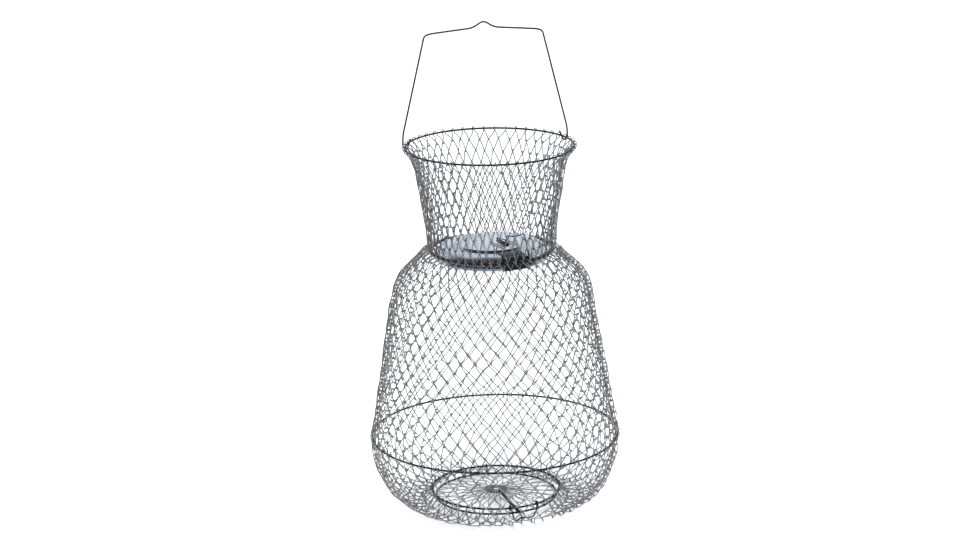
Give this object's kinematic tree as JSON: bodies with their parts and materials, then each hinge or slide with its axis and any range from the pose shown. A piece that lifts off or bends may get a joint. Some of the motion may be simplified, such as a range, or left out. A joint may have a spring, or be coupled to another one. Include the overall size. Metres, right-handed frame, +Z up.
{
  "type": "folding wire trap basket",
  "caption": "Collapsible round wire-mesh trap basket on steel hoops, with a bail, a sprung inward lid in its neck and a drop door below.",
  "frame": {"origin": "centre of the basket's axis on the resting face, the underside of the bowl's flat ring", "axes": "+Z up along the basket's axis; +Y points away from the side with the lid's hinge and the latch; +X to the right"},
  "size_m": [0.3326, 0.3326, 0.6492],
  "materials": {
    "mesh_wire": "thin plated steel wire, knitted into a mesh, slightly dulled",
    "hoop_wire": "dark drawn steel wire",
    "bail_wire": "dark drawn steel wire",
    "lid_steel": "bright plated sheet steel, stamped",
    "hinge_steel": "dark plated sheet steel",
    "pin_steel": "bright steel rod",
    "spring_steel": "dark spring wire"
  },
  "bodies": {
    "base": {"bottom_ring": "hoop_wire", "base_floor_mesh": "mesh_wire", "base_mesh_1": "mesh_wire", "door_clip_left": "hoop_wire", "door_clip_right": "hoop_wire"},
    "base_band": {"base_mesh_2": "mesh_wire"},
    "belly": {"belly_ring": "hoop_wire", "belly_ring_sleeve": "hoop_wire", "base_mesh_3": "mesh_wire", "body_mesh_1": "mesh_wire"},
    "body_band_2": {"body_mesh_2": "mesh_wire"},
    "body_band_3": {"body_mesh_3": "mesh_wire"},
    "body_band_4": {"body_mesh_4": "mesh_wire"},
    "body_band_5": {"body_mesh_5": "mesh_wire"},
    "body_band_6": {"body_mesh_6": "mesh_wire"},
    "body_band_7": {"body_mesh_7": "mesh_wire"},
    "shoulder_band": {"shoulder_mesh": "mesh_wire"},
    "neck": {"neck_ring": "hoop_wire", "neck_mesh": "mesh_wire", "collar_mesh_1": "mesh_wire", "lid_bracket": "hinge_steel", "lid_hinge_pin": "pin_steel"},
    "collar_band_2": {"collar_mesh_2": "mesh_wire"},
    "collar_band_3": {"collar_mesh_3": "mesh_wire"},
    "collar_band_4": {"collar_mesh_4": "mesh_wire"},
    "mouth": {"top_ring": "hoop_wire", "collar_mesh_5": "mesh_wire"},
    "bail": {"bail_handle": "bail_wire"},
    "lid": {"lid_dish": "lid_steel", "lid_hinge_plate": "hinge_steel", "lid_lever": "hoop_wire", "lid_spring": "spring_steel", "lid_spring_eye": "hinge_steel"},
    "door": {"door_ring": "hoop_wire", "door_mesh": "mesh_wire", "door_hub_ring": "hoop_wire", "door_spring": "spring_steel"},
    "latch": {"latch_wire": "hoop_wire"}
  },
  "joints": [
    {"name": "base_fold", "type": "slide", "parent": "base", "child": "belly", "axis": [0, 0, -1], "range_m": [0, 0.0605]},
    {"name": "base_band_slide", "type": "slide", "parent": "base", "child": "base_band", "axis": [0, 0, -1], "range_m": [0, 0.03]},
    {"name": "body_fold", "type": "slide", "parent": "belly", "child": "neck", "axis": [0, 0, -1], "range_m": [0, 0.241]},
    {"name": "body_band_2_slide", "type": "slide", "parent": "belly", "child": "body_band_2", "axis": [0, 0, -1], "range_m": [0, 0.0282]},
    {"name": "body_band_3_slide", "type": "slide", "parent": "belly", "child": "body_band_3", "axis": [0, 0, -1], "range_m": [0, 0.05639]},
    {"name": "body_band_4_slide", "type": "slide", "parent": "belly", "child": "body_band_4", "axis": [0, 0, -1], "range_m": [0, 0.08459]},
    {"name": "body_band_5_slide", "type": "slide", "parent": "belly", "child": "body_band_5", "axis": [0, 0, -1], "range_m": [0, 0.11812]},
    {"name": "body_band_6_slide", "type": "slide", "parent": "belly", "child": "body_band_6", "axis": [0, 0, -1], "range_m": [0, 0.15117]},
    {"name": "body_band_7_slide", "type": "slide", "parent": "belly", "child": "body_band_7", "axis": [0, 0, -1], "range_m": [0, 0.18423]},
    {"name": "shoulder_slide", "type": "slide", "parent": "belly", "child": "shoulder_band", "axis": [0, 0, -1], "range_m": [0, 0.21623]},
    {"name": "collar_fold", "type": "slide", "parent": "neck", "child": "mouth", "axis": [0, 0, -1], "range_m": [0, 0.114]},
    {"name": "collar_band_2_slide", "type": "slide", "parent": "neck", "child": "collar_band_2", "axis": [0, 0, -1], "range_m": [0, 0.0273]},
    {"name": "collar_band_3_slide", "type": "slide", "parent": "neck", "child": "collar_band_3", "axis": [0, 0, -1], "range_m": [0, 0.0548]},
    {"name": "collar_band_4_slide", "type": "slide", "parent": "neck", "child": "collar_band_4", "axis": [0, 0, -1], "range_m": [0, 0.0818]},
    {"name": "bail_swing", "type": "hinge", "parent": "mouth", "child": "bail", "pos_m": [-0.00521, 0.02954, 0.4836], "axis": [0.9848, 0.1736, 0], "range_deg": [-145, 30]},
    {"name": "lid_open", "type": "hinge", "parent": "neck", "child": "lid", "pos_m": [0.0317, -0.06797, 0.3515], "axis": [0.9063, 0.4226, 0], "range_deg": [-45, 0], "stiffness_Nm_per_rad": 0.25, "springref_deg": 30},
    {"name": "door_open", "type": "hinge", "parent": "base", "child": "door", "pos_m": [-0.02645, 0.07469, 0.005], "axis": [-0.9426, -0.3338, 0], "range_deg": [-100, 0]},
    {"name": "latch_swing", "type": "hinge", "parent": "base", "child": "latch", "pos_m": [0.03626, -0.07601, 0.014], "axis": [0.9026, 0.4305, 0], "range_deg": [-35, 0], "stiffness_Nm_per_rad": 0.01, "springref_deg": 20.05}
  ],
  "couplings": [
    {"joint": "base_band_slide", "follows": "base_fold", "ratio": 0.49587},
    {"joint": "body_band_2_slide", "follows": "body_fold", "ratio": 0.117},
    {"joint": "body_band_3_slide", "follows": "body_fold", "ratio": 0.23399},
    {"joint": "body_band_4_slide", "follows": "body_fold", "ratio": 0.35099},
    {"joint": "body_band_5_slide", "follows": "body_fold", "ratio": 0.49012},
    {"joint": "body_band_6_slide", "follows": "body_fold", "ratio": 0.62727},
    {"joint": "body_band_7_slide", "follows": "body_fold", "ratio": 0.76443},
    {"joint": "shoulder_slide", "follows": "body_fold", "ratio": 0.89723},
    {"joint": "collar_band_2_slide", "follows": "collar_fold", "ratio": 0.23947},
    {"joint": "collar_band_3_slide", "follows": "collar_fold", "ratio": 0.4807},
    {"joint": "collar_band_4_slide", "follows": "collar_fold", "ratio": 0.71754}
  ]
}
